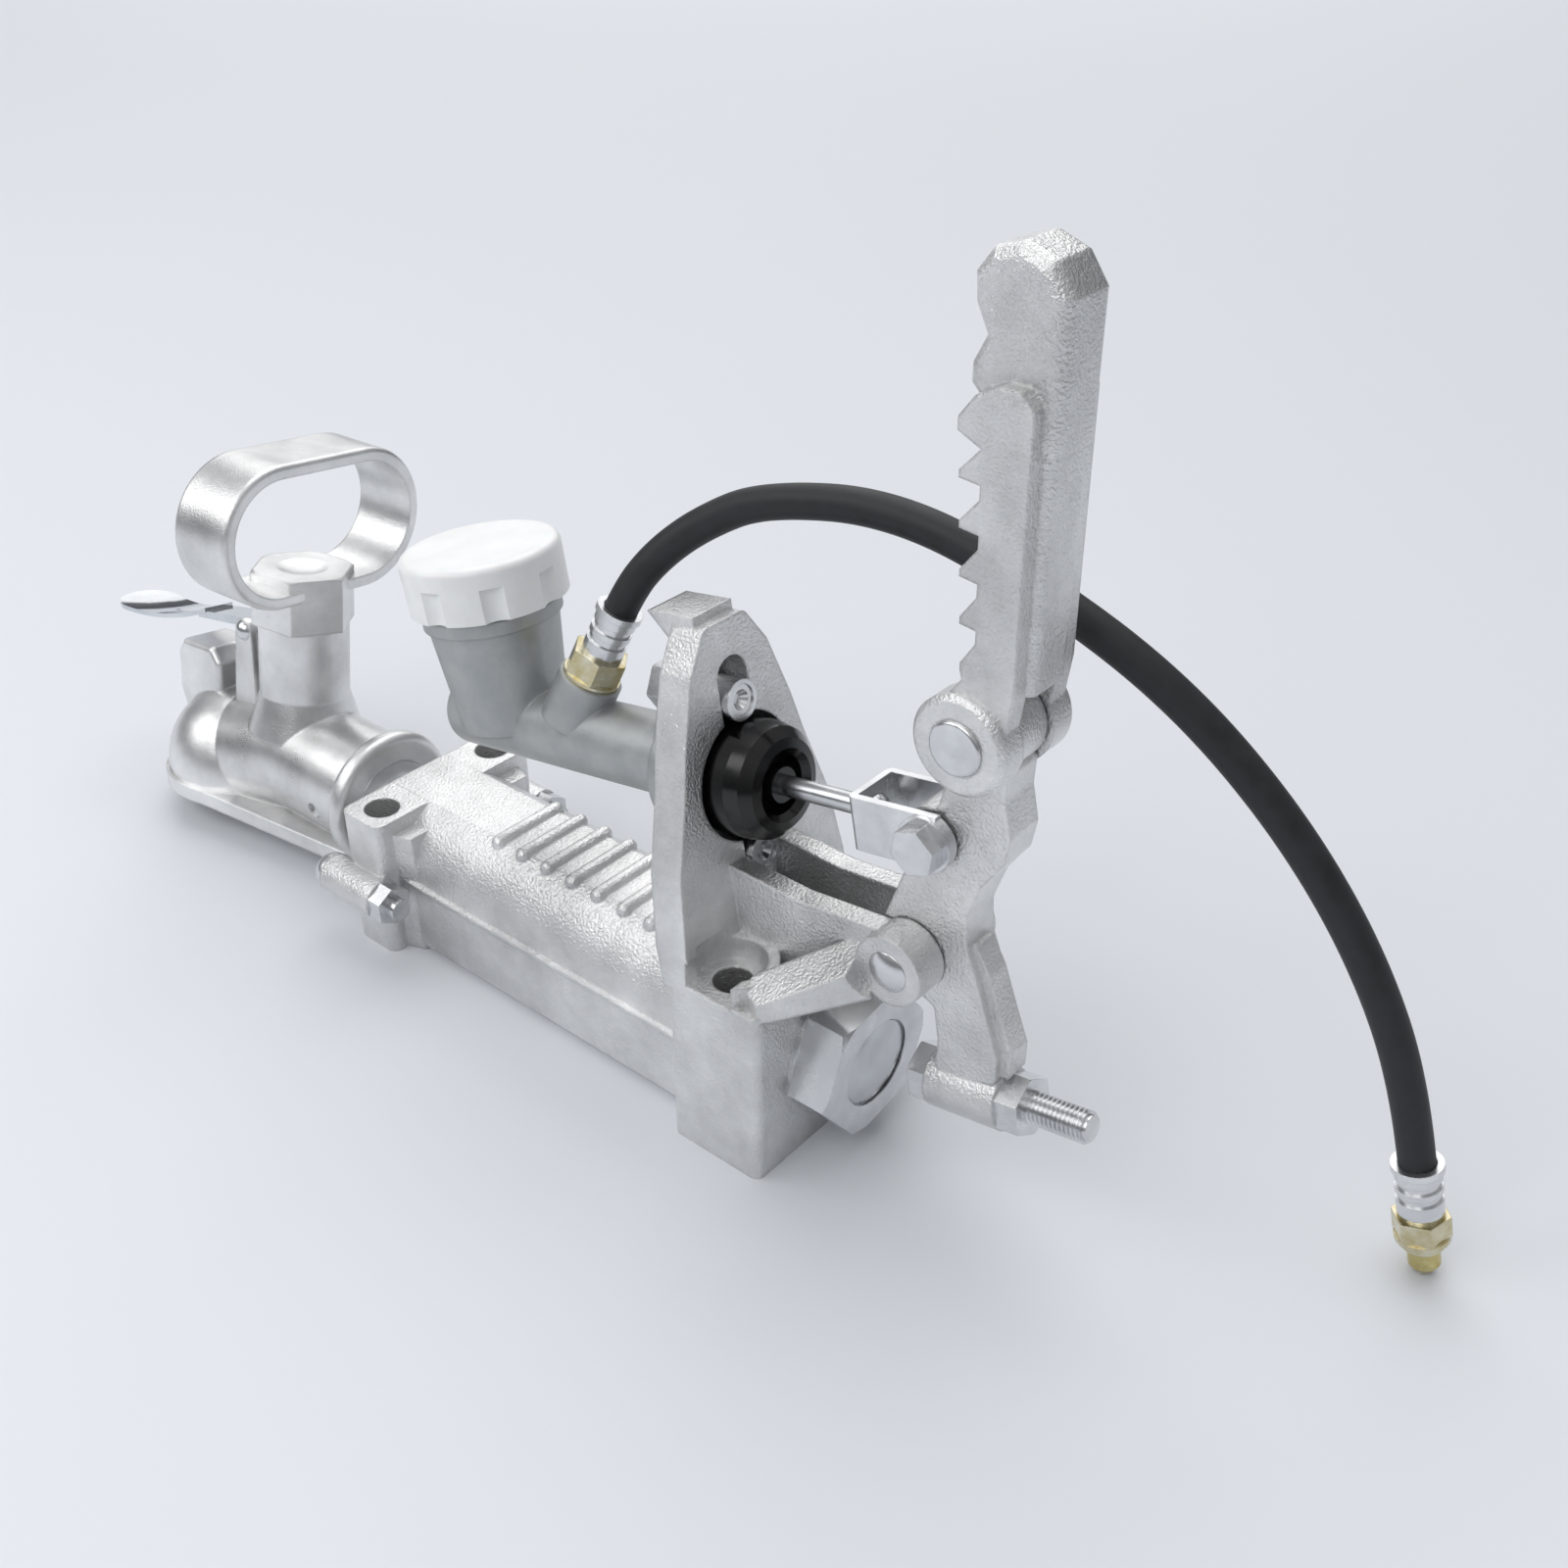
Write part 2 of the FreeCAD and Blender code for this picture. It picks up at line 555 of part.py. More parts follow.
# Clevis bent from strip
clevis_h = 8.5
outer = box(clevis_front, clevis_back, -clevis_out, clevis_out, -clevis_h, clevis_h)
outer = soften(outer, 2.2, lambda e: abs(e.Vertexes[0].Z - e.Vertexes[-1].Z) > 8
               and e.Vertexes[0].X < clevis_front + 1)
inner = box(clevis_front + CLEVIS_T, clevis_back + 5, -clevis_in, clevis_in, -20, 20)
round_end = fuse([box(clevis_front, clevis_s, -20, 20, -20, 20), cyl(V(clevis_s, -20, 0), AY, clevis_h, 40),
                  box(clevis_s, clevis_s + 4, -20, 20, -clevis_h, clevis_h)])
clevis = outer.common(round_end).cut(inner)
clevis = clevis.cut(cyl(V(clevis_front - 2, 0, 0), AX, ROD_R, 10))
clevis = clevis.cut(cyl(V(clevis_s, -20, 0), AY, CLEVIS_BOLT_R, 40))
save("clevis", tilted(clevis))

# Clevis bolt, washers and nut, turning with the clevis
washer_t = 1.6
washers = []
for side in (-1, 1):
    base = V(clevis_s, side * clevis_out, 0)
    washers.append(tilted(tube(base, AY * side, 8.6, CLEVIS_BOLT_R, washer_t)))
save("clevis_washers", group(washers))
head_y = clevis_out + washer_t
bolt = cyl(V(clevis_s, -head_y, 0), AY, CLEVIS_BOLT_R, 2 * head_y + 8.5)
bolt = fuse([bolt, hexagon(V(clevis_s, -head_y, 0), AY * -1, 13.0, 5.5, 12)])
save("clevis_bolt", tilted(bolt))
nut = hexagon(V(clevis_s, head_y, 0), AY, 13.0, 6.5, 20)
nut = nut.cut(cyl(V(clevis_s, head_y - 2, 0), AY, CLEVIS_BOLT_R, 20))
save("clevis_nut", tilted(nut))

# Brake lever, an S-shaped casting in the centre plane
clevis_z = CYL_Z + (CLEVIS_X - CYL_X) * math.tan(math.radians(TILT))
front_edge = [(TOP_X - 9.5, TOP_Z - 7.5), (145.0, 150.0), (143.5, 143.0), (134.5, 133.0), (135.0, 122.0)]
front_edge += [(131.0, 110.0), (126.5, 97.0)]
low_edge = [(126.5, 84.0), (134.0, 78.5), (146.0, 74.0), (148.0, 62.0), (147.5, 50.0)]
back_low = [(168.5, 56.0), (168.5, 66.0), (164.5, 77.0), (160.0, 90.0)]
back_edge = [(155.5, 101.0), (155.0, 111.0), (159.0, 123.0), (165.5, 133.0), (167.0, 142.0)]
back_edge += [(164.5, 153.0), (TOP_X + 10.5, TOP_Z - 7.5)]
lever = prism_y(front_edge + low_edge + back_low + back_edge, -LEVER_HALF, LEVER_HALF)
lever = soften(lever, 2.5, lambda e: abs(e.Vertexes[0].Y - e.Vertexes[-1].Y) > 5)
adj_dir = V(math.cos(math.radians(ADJ_TILT)), 0, math.sin(math.radians(ADJ_TILT)))
adj_half = 12.5
adj_mid = V(ADJ_X, 0, ADJ_Z)
adj_boss = cyl(adj_mid - adj_dir * adj_half, adj_dir, 10.0, 2 * adj_half)
rib_points = [(172.0, 58.0), (172.0, 68.0), (167.5, 79.0), (162.5, 92.0), (157.0, 101.0)]
rib_points += [(153.0, 99.0), (160.0, 76.0), (163.0, 58.0)]
rear_rib = prism_y(rib_points, -4.0, 4.0)
rear_rib = soften(rear_rib, 2.0, lambda e: abs(e.Vertexes[0].Y - e.Vertexes[-1].Y) > 5)
lever = fuse([lever, cyl(V(PIVOT_X, -LEVER_HALF, PIVOT_Z), AY, 13.5, 2 * LEVER_HALF),
              cyl(V(TOP_X, -LEVER_HALF, TOP_Z), AY, 12.5, 2 * LEVER_HALF), adj_boss, rear_rib,
              cyl(V(CLEVIS_X, -LEVER_HALF, clevis_z), AY, 9.5, 2 * LEVER_HALF)])
lever = lever.cut(fuse([cyl(V(PIVOT_X, -30, PIVOT_Z), AY, PIVOT_R + RUN, 60),
                        cyl(V(TOP_X, -30, TOP_Z), AY, TOP_R, 60),
                        cyl(V(CLEVIS_X, -30, clevis_z), AY, CLEVIS_BOLT_R + RUN, 60),
                        cyl(adj_mid - adj_dir * 30, adj_dir, ADJ_R, 60)]))
save("brake_lever", lever)

# Adjusting bolt and lock nut
head_at = adj_mid - adj_dir * adj_half
bolt = fuse([cyl(head_at, adj_dir, ADJ_R, 53.0), hexagon(head_at, adj_dir * -1, ADJ_AF, 6.4, 0)])
tip_at = head_at + adj_dir * 53.0
tip_ring = tube(tip_at - adj_dir * 1.2, adj_dir, ADJ_R + 1, ADJ_R - 0.9, 3.0)
bolt = bolt.cut(tip_ring)
groove = [(ADJ_R - 0.9, ADJ_PITCH / 2.0), (ADJ_R + 0.1, 0.1), (ADJ_R + 0.1, ADJ_PITCH - 0.1)]
for k in range(12):
    bolt = bolt.cut(spin(groove, tip_at - adj_dir * (1.2 + ADJ_PITCH * (k + 1)), adj_dir))
save("adjuster_bolt", bolt)
nut_at = adj_mid + adj_dir * adj_half
adj_nut = hexagon(nut_at, adj_dir, ADJ_AF, 8.0, 0)
save("adjuster_nut", adj_nut.cut(cyl(nut_at - adj_dir, adj_dir, ADJ_R, 12)))

# Handle pin fixed in the lever, running in the handle
pin_half = PAD_OUT + 1.2
handle_pin = cyl(V(TOP_X, -pin_half, TOP_Z), AY, TOP_R, 2 * pin_half)
save("handle_pin", soften(handle_pin, 1.2, lambda e: len(e.Vertexes) == 1))

# Handbrake handle: two toothed cheeks, a back web and a grip
cheek = [(144.0, 176.0)]
for k in range(TEETH):
    z = TOOTH_LOW_Z + TOOTH_PITCH * k
    tip_x = TOOTH_TIP_X + 2.2 - 0.9 * k
    cheek.append((TOOTH_ROOT_X + 0.8 - 0.5 * k, z))
    cheek.append((tip_x, z + 0.6))
    cheek.append((tip_x, z + 2.6))
    cheek.append((TOOTH_ROOT_X + 0.3 - 0.5 * k, z + 9.0))
cheek[1] = (153.0, TOOTH_LOW_Z - 2.0)
top_z = TOOTH_LOW_Z + TOOTH_PITCH * TEETH
cheek += [(147.5, top_z - 0.5), (147.5, top_z + 3.0), (152.0, top_z + 9.0), (158.0, top_z + 12.0)]
cheek += [(164.0, top_z + 12.0), (168.0, top_z + 8.0), (168.5, 190.0), (166.5, 174.0)]
cheeks = []
for side in (-1, 1):
    y_low = min(side * CHEEK_IN, side * CHEEK_OUT)
    plate = prism_y(cheek, y_low, y_low + CHEEK_OUT - CHEEK_IN)
    pad_h = PAD_OUT - CHEEK_IN
    pad_line = [(0.0, 0.0), (TOP_BOSS_R, 0.0), (TOP_BOSS_R, pad_h - 1.5)]
    pad_line += [(TOP_BOSS_R - 1.5, pad_h), (0.0, pad_h)]
    pad = spin(pad_line, V(TOP_X, side * CHEEK_IN, TOP_Z), AY * side)
    cheeks += [plate, pad]
web = prism_y([(158.0, 187.0), (170.5, 187.0), (170.5, 262.0), (158.0, 262.0)], -8.5, 8.5)
web = soften(web, 3.0, lambda e: abs(e.Vertexes[0].Z - e.Vertexes[-1].Z) > 40 and e.Vertexes[0].X > 165)
grip_line = [(158.0, 250.0), (151.0, 258.0), (146.0, 263.0), (146.0, 268.0), (149.5, 275.0)]
grip_line += [(146.0, 282.0), (145.5, 289.0), (150.0, 295.0)]
grip_line += [(158.0, 297.5), (166.5, 294.5), (172.0, 287.0), (172.0, 250.0)]
grip = prism_y(grip_line, -GRIP_HALF, GRIP_HALF)
grip = soften(grip, 4.0, lambda e: abs(e.Vertexes[0].Y) > GRIP_HALF - 0.1
              and abs(e.Vertexes[-1].Y - e.Vertexes[0].Y) < 0.1 and max(v.Z for v in e.Vertexes) > 251)
handle = fuse(cheeks + [web, grip])
handle = handle.cut(cyl(V(TOP_X, -30, TOP_Z), AY, TOP_R + RUN, 60))
save("handbrake_handle", handle)

# Shaft, washer, nut and its pin
shaft_front = COLLAR_X - SHAFT_SEAT
nut_x = BLOCK_BACK_X + WASHER_T
shaft_end = nut_x + NUT_LEN - 1.5
shaft = cyl(V(shaft_front, 0, AXIS_Z), AX, SHAFT_R, BLOCK_BACK_X + 1.0 - shaft_front)
shaft = fuse([shaft, cyl(V(BLOCK_BACK_X, 0, AXIS_Z), AX, THREAD_R, shaft_end - BLOCK_BACK_X)])
dome_r = 60.0
dome = ball(V(shaft_end + 2.4 - dome_r, 0, AXIS_Z), dome_r)
dome = dome.common(cyl(V(shaft_end - 0.5, 0, AXIS_Z), AX, THREAD_R - 0.6, 6.0))
shaft = fuse([shaft, dome])
pin_x = nut_x + 8.0
nut_pin = cyl(V(pin_x, 0, AXIS_Z + 4.0), AZ, 2.0, 16.0)
shaft = shaft.cut(nut_pin)
head_pin_z = AXIS_Z - 6.0
head_pin = cyl(V(HEAD_PIN_X, -20.6, head_pin_z), AY, 3.0, 41.2)
shaft = shaft.cut(rolled(head_pin))
save("shaft", shaft)
save("thrust_washer", tube(V(BLOCK_BACK_X, 0, AXIS_Z), AX, 24.0, SHAFT_R + RUN, WASHER_T))
nut = hexagon(V(nut_x, 0, AXIS_Z), AX, NUT_AF, NUT_LEN, 90 + 8)
nut = nut.cut(cyl(V(nut_x - 1, 0, AXIS_Z), AX, THREAD_R, NUT_LEN + 2))
nut = nut.cut(cyl(V(pin_x, 0, AXIS_Z + 10.0), AZ, 2.0, 30))
save("shaft_nut", nut)
save("nut_pin", nut_pin)

# Ball head casting
neck_len = 51.0
bead_r = NECK_R + 4.4
bead_w = 8.0
neck_line = [(0.0, 0.0), (NECK_R, 0.0), (NECK_R, neck_len - bead_w), (bead_r, neck_len - bead_w)]
neck_line += [(bead_r, neck_len), (0.0, neck_len)]
neck = spin(neck_line, V(0, 0, 0), AZ)
neck = soften(neck, bead_w * 0.42, lambda e: len(e.Vertexes) == 1 and abs(e.Vertexes[0].X - bead_r) < 0.01)
neck = aim(neck, V(COLLAR_X - neck_len, 0, AXIS_Z), AX)
dome = ball(V(BALL_X, 0, BALL_Z), DOME_R)
bridge_front = Part.Wire([Part.makeCircle(NECK_R + 3.0, V(BALL_X + 4, 0, BALL_Z + 5), AX)])
bridge_back = Part.Wire([Part.makeCircle(NECK_R, V(COLLAR_X - neck_len, 0, AXIS_Z), AX)])
bridge = Part.makeLoft([bridge_front, bridge_back], True)
skirt = cyl(V(BALL_X, 0, HEAD_LOW_Z), AZ, DOME_R + 1.2, 6.0)
tower = cyl(V(TOWER_X, 0, AXIS_Z), AZ, TOWER_R, TOWER_TOP - AXIS_Z)
tower_foot = cone(V(TOWER_X, 0, AXIS_Z + 12), AZ, TOWER_R + 5.0, TOWER_R, 16)
sole_back = COLLAR_X - 6.0
sole_front = DOME_R + 0.8
sole_rear = NECK_R - 4
sole_points = [(BALL_X, -sole_front), (sole_back, -sole_rear), (sole_back, sole_rear), (BALL_X, sole_front)]
sole = prism_z(sole_points, HEAD_LOW_Z, HEAD_LOW_Z + 6.0)
lug_points = [(BALL_X - 25, 34.0), (BALL_X - 31, 46.0), (BALL_X - 31, 58.0), (BALL_X - 27, 64.0)]
lug_points += [(BALL_X - 7, 66.0), (BALL_X - 2, 60.0), (BALL_X - 2, 34.0)]
lug = prism_y(lug_points, -11.0, 11.0)
lug = soften(lug, 2.5, lambda e: max(v.Z for v in e.Vertexes) > 50)
ears = []
for side in (-1, 1):
    ear_y = min(side * EAR_IN, side * EAR_OUT)
    ear_line = [(LATCH_X - 7, 42.0), (LATCH_X - 5, LATCH_Z), (LATCH_X + 5, LATCH_Z), (LATCH_X + 8, 42.0)]
    ear = prism_y(ear_line, ear_y, ear_y + EAR_OUT - EAR_IN)
    ears += [ear, cyl(V(LATCH_X, ear_y, LATCH_Z), AY, 5.0, EAR_OUT - EAR_IN)]
ear_hole = cyl(V(LATCH_X, -20, LATCH_Z), AY, RIVET_R, 40)
head = fuse([neck, dome, bridge, skirt, sole, tower, tower_foot, lug] + ears)
floor_cut = box(BALL_X - 2 * DOME_R, FRONT_X, -2 * DOME_R, 2 * DOME_R, -2 * DOME_R, HEAD_LOW_Z)
arc_45 = SOCKET_R * math.sqrt(0.5)
socket_edges = [Part.Arc(V(0, 0, SOCKET_R), V(arc_45, 0, arc_45), V(SOCKET_R, 0, 0)).toShape(),
                Part.makeLine(V(SOCKET_R, 0, 0), V(SOCKET_R, 0, -60)),
                Part.makeLine(V(SOCKET_R, 0, -60), V(0, 0, -60)),
                Part.makeLine(V(0, 0, -60), V(0, 0, SOCKET_R))]
socket = Part.Face(Part.Wire(socket_edges)).revolve(V(0, 0, 0), AZ, 360)
socket = aim(socket, V(BALL_X, 0, BALL_Z), AZ)
keeper_z = BALL_Z + 3.0
keeper_r = 7.0
keeper_bore = cyl(V(BALL_X + 10, 0, keeper_z), AX, keeper_r + RUN, TOWER_X - BALL_X - 10)
plunger_bore = cyl(V(TOWER_X, 0, keeper_z - 8), AZ, PLUNGER_R + RUN, 120)
spring_bore = cyl(V(TOWER_X, 0, SPRING_LOW), AZ, SPRING_R, 60)
shaft_bore = cyl(V(shaft_front, 0, AXIS_Z), AX, SHAFT_R, 60)
pin_mouth = cyl(V(HEAD_PIN_X, -40.0, head_pin_z), AY, 3.0, 40.0)
bores = [keeper_bore, plunger_bore, spring_bore, shaft_bore, head_pin, pin_mouth, ear_hole]
for tool in [floor_cut, socket] + bores:
    head = head.cut(tool)
save("coupling_head", rolled(head))
save("head_pin", rolled(head_pin))

# Locking plunger, its spring, cross pin and the ball keeper
low_z = keeper_z - 7.0
plunger = cone(V(TOWER_X, 0, low_z), AZ, PLUNGER_NECK_R, PLUNGER_R, 4.0)
plunger = fuse([plunger, cyl(V(TOWER_X, 0, low_z + 4.0), AZ, PLUNGER_R, TOWER_TOP + 12.0 - low_z - 4.0),
                cyl(V(TOWER_X, 0, SPRING_LOW + 0.5), AZ, SPRING_R - SLIDE_GAP, STEP_T)])
flat_x = TOWER_X - PLUNGER_R
ramp_points = [(flat_x - 5, keeper_z + 2.0), (flat_x, keeper_z + 2.0)]
ramp_points += [(flat_x + 3.4, keeper_z - 14.0), (flat_x - 5, keeper_z - 14.0)]
ramp = prism_y(ramp_points, -12, 12)
plunger = plunger.cut(ramp)
cross_pin = cyl(V(TOWER_X, -17.0, TOWER_TOP + 7.0), AY, 2.5, 34.0)
plunger = plunger.cut(cross_pin)
save("lock_plunger", rolled(plunger))
spring_top = TOWER_TOP - TOWER_CAP
spring_low = SPRING_LOW + 0.5 + STEP_T
spring = coil_spring((spring_top - spring_low - 2.2) / 5, 5, SPRING_R - 1.8, 0.9)
spring.translate(V(TOWER_X, 0, spring_low + 1.1))
save("tower_cap", rolled(tube(V(TOWER_X, 0, spring_top), AZ, SPRING_R, PLUNGER_R + RUN, TOWER_CAP)))
save("plunger_spring", rolled(spring))
keeper = cyl(V(BALL_X + 12, 0, keeper_z), AX, keeper_r, TOWER_X - PLUNGER_R - BALL_X - 12 - 4.0)
keeper = fuse([keeper, cyl(V(TOWER_X - PLUNGER_R - 6.0, 0, keeper_z), AX, 2.0, 6.0 - 0.6)])
keeper = keeper.cut(ball(V(BALL_X, 0, BALL_Z), BALL_R + 0.1))
save("ball_keeper", rolled(keeper))

# Lift handle: stadium band on a faceted boss
loop_r = (LOOP_HIGH - LOOP_LOW) / 2.0
loop_mid = (LOOP_HIGH + LOOP_LOW) / 2.0
straight = LOOP_LEN / 2.0 - loop_r


def stadium(radius, half_w):
    bar = box(-straight, straight, -half_w, half_w, loop_mid - radius, loop_mid + radius)
    ends = [cyl(V(s * straight, -half_w, loop_mid), AY, radius, 2 * half_w) for s in (-1, 1)]
    return fuse([bar] + ends)


loop = stadium(loop_r, BAND_W / 2.0)
loop = soften(loop, 2.0, lambda e: abs(e.Vertexes[0].Y) > 1
              and abs(e.Vertexes[0].Y - e.Vertexes[-1].Y) < 0.1)
loop = loop.cut(stadium(loop_r - BAND_T, BAND_W))
loop.rotate(V(0, 0, 0), AZ, HANDLE_TURN)
loop.translate(V(TOWER_X, 0, 0))
boss_low = TOWER_TOP + 0.05
boss = hexagon(V(TOWER_X, 0, boss_low), AZ, 35.0, BOSS_TOP - boss_low, 10)
dish = ball(V(TOWER_X, 0, BOSS_TOP + 30.0), 31.5)
boss = boss.cut(dish)
lift = fuse([loop, boss])
lift = lift.cut(fuse([cyl(V(TOWER_X, 0, boss_low - 1), AZ, PLUNGER_R, 13.0 - 0.05), cross_pin]))
save("lift_handle", rolled(lift))
save("handle_cross_pin", rolled(cross_pin.common(cyl(V(TOWER_X, 0, TOWER_TOP), AZ, 15.0, 30))))

# Safety latch: a rocker with a forward thumb spoon and a hanging plate with a stud
latch_half = EAR_IN - SLIDE_GAP
hang_low = 53.0
hub = cyl(V(LATCH_X, -latch_half, LATCH_Z), AY, 4.5, 2 * latch_half)
hang = box(LATCH_X - 0.5, LATCH_X + 2.0, -latch_half, latch_half, hang_low, LATCH_Z)
hang = soften(hang, 4.0, lambda e: abs(e.Vertexes[0].X - e.Vertexes[-1].X) > 1
              and e.Vertexes[0].Z < hang_low + 1)
reach = SPOON_MID - 24.0
reach_points = [(LATCH_X, LATCH_Z + 0.5), (LATCH_X, LATCH_Z + 4.4)]
reach_points += [(LATCH_X - reach, LATCH_Z + 5.0), (LATCH_X - reach, LATCH_Z + 2.2)]
reach_arm = prism_y(reach_points, -latch_half, latch_half)
spoon_mid = LATCH_X - SPOON_MID
shell_r = 120.0
shell_c = V(spoon_mid, 0, LATCH_Z + 0.5 + shell_r)
spoon = ball(shell_c, shell_r).cut(ball(shell_c, shell_r - 1.8))
end_r = 12.5
neck_half = 6.5
spoon_plan = [cyl(V(spoon_mid - 22.0, 0, LATCH_Z - 20), AZ, end_r, 40)]
spoon_sides = [(spoon_mid - 20.0, -end_r + 0.2), (spoon_mid + 30.0, -neck_half)]
spoon_sides += [(spoon_mid + 30.0, neck_half), (spoon_mid - 20.0, end_r - 0.2)]
spoon_plan.append(prism_z(spoon_sides, LATCH_Z - 20, LATCH_Z + 20))
spoon = spoon.common(fuse(spoon_plan))
tray = fuse([reach_arm, spoon])
tray.rotate(V(LATCH_X, 0, LATCH_Z), AY, -SPOON_TILT)
latch = fuse([hub, hang, tray])
rivet_hole = cyl(V(LATCH_X, -20, LATCH_Z), AY, RIVET_R + RUN, 40)
spring_gap = cyl(V(LATCH_X, -1.8, LATCH_Z), AY, 3.7, 3.6)
stud_z = hang_low + 6.5
stud_at = V(LATCH_X - 0.5, 0, stud_z)
stud_hole = cyl(stud_at - AX * 5, AX, 3.0, 10)
latch = latch.cut(fuse([rivet_hole, stud_hole, spring_gap]))
save("thumb_latch", rolled(latch))
stud = ball(stud_at + AX * 2.0, 6.0).common(box(LATCH_X - 20, LATCH_X - 0.5, -10, 10, 40, 80))
stud = fuse([stud, cyl(stud_at, AX, 3.0, 3.2)])
save("latch_stud", rolled(stud))
rivet = cyl(V(LATCH_X, -EAR_OUT, LATCH_Z), AY, RIVET_R, 2 * EAR_OUT)
for side in (-1, 1):
    cap_c = V(LATCH_X, side * (EAR_OUT - 2.4), LATCH_Z)
    outside = cyl(V(LATCH_X, side * EAR_OUT, LATCH_Z), AY * side, 6.0, 5.0)
    rivet = fuse([rivet, ball(cap_c, 4.8).common(outside)])
save("latch_rivet", rolled(rivet))
save("latch_spring", rolled(tube(V(LATCH_X, -1.6, LATCH_Z), AY, 3.4, RIVET_R + RUN, 3.2)))

# Reservoir cap and gasket
cap = cyl(V(RES_S, 0, CAP_T0), AZ, CAP_R, CAP_T1 - CAP_T0)
cap = soften(cap, 2.5, lambda e: len(e.Vertexes) == 1 and e.Vertexes[0].Z > CAP_T1 - 0.1)
notches = []
for k in range(8):
    a = math.radians(45 * k + 10)
    notch_at = CAP_R + 4.2
    notch_base = V(RES_S + notch_at * math.cos(a), notch_at * math.sin(a), CAP_T0 - 1)
    notches.append(cyl(notch_base, AZ, 6.0, 12.5))
cap = cap.cut(fuse(notches))
inside_r = neck_r + 0.4
cap = cap.cut(cyl(V(RES_S, 0, CAP_T0 - 1), AZ, inside_r, RES_TOP_T + 9.0 + 2.5 - CAP_T0 + 1))
save("reservoir_cap", tilted(cap))
seal_low = RES_TOP_T + 9.0
save("cap_seal", tilted(cyl(V(RES_S, 0, seal_low + 0.02), AZ, neck_r - 0.5, 2.4)))

# Hose fitting, ferrules, hose and far end
fit_nut = hexagon(PORT + port_dir * (PORT_TOP + 1.5), port_dir, 17.0, 8.5, 10)
fit_ring = cyl(PORT + port_dir * PORT_TOP, port_dir, 9.6, 1.5)
fit_stem = cyl(PORT, port_dir, 5.0, PORT_TOP)
fit = fuse([fit_nut, fit_ring, fit_stem])
save("hose_fitting", fit)


def crimped(start, axis, mouth, length):
    # sleeve with a closed foot, two crimp waists and a flared mouth
    solid = cyl(start, axis, FERRULE_R, length)
    solid = fuse([solid, cyl(start + axis * (length - 2.2), axis, FERRULE_R + 0.8, 2.2)])
    for s in (0.28, 0.55):
        solid = solid.cut(tube(start + axis * (length * s), axis, FERRULE_R + 2, FERRULE_R - 0.7, 2.4))
    return solid.cut(cyl(start + axis * mouth, axis, HOSE_R, length))


near_start = PORT_TOP + 10.0
near_ferrule = crimped(PORT + port_dir * near_start, port_dir, port_in - near_start, 17.0)
save("near_ferrule", near_ferrule)

corners = [V(*p) for p in HOSE_ROUTE]
edges = []
here = corners[0]
length = 0.0
for k in range(1, len(corners) - 1):
    a = corners[k - 1]
    b = corners[k]
    c = corners[k + 1]
    back = a - b
    ahead = c - b
    shorter = min(back.Length, ahead.Length)
    turn = math.pi - back.getAngle(ahead)
    reach = HOSE_BEND * shorter
    radius = reach / math.tan(turn / 2.0)
    back.normalize()
    ahead.normalize()
    p = b + back * reach
    q = b + ahead * reach
    middle = back + ahead
    middle.normalize()
    centre = b + middle * (radius / math.cos(turn / 2.0))
    m = centre - middle * radius
    edges.append(Part.makeLine(here, p))
    edges.append(Part.Arc(p, m, q).toShape())
    length += (p - here).Length + radius * turn
    here = q
edges.append(Part.makeLine(here, corners[-1]))
length += (corners[-1] - here).Length
route = Part.Wire(edges)
start_ring = Part.Wire([Part.makeCircle(HOSE_R, corners[0], port_dir)])
hose = route.makePipeShell([start_ring], True, False)
print("hose length", round(length, 1), "volume", round(hose.Volume))
save("hose", hose)

far_dir = corners[-1] - corners[-2]
far_dir.normalize()
far_top = corners[-1] - far_dir * 10.0
far_ferrule = crimped(far_top + far_dir * FAR_LEN, far_dir * -1, FAR_LEN - 10.0, FAR_LEN)
save("far_ferrule", far_ferrule)
far_foot = far_top + far_dir * FAR_LEN
fitting = fuse([cyl(far_foot, far_dir, 6.0, 1.5), hexagon(far_foot + far_dir * 1.5, far_dir, 15.0, 7.0, 0),
                cyl(far_foot + far_dir * 8.5, far_dir, 8.2, 1.6),
                cyl(far_foot + far_dir * 10.1, far_dir, 6.2, 3.0)])
save("end_fitting", fitting)
tip_at = far_foot + far_dir * 13.1
tip = fuse([cyl(tip_at, far_dir, 4.8, 6.6), cone(tip_at + far_dir * 6.6, far_dir, 4.8, 3.2, 2.2)])
tip = tip.cut(cyl(tip_at + far_dir * 2.0, far_dir, 1.6, 10.0))
save("end_tip", tip)
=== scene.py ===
import math

import bpy
from mathutils import Matrix, Vector


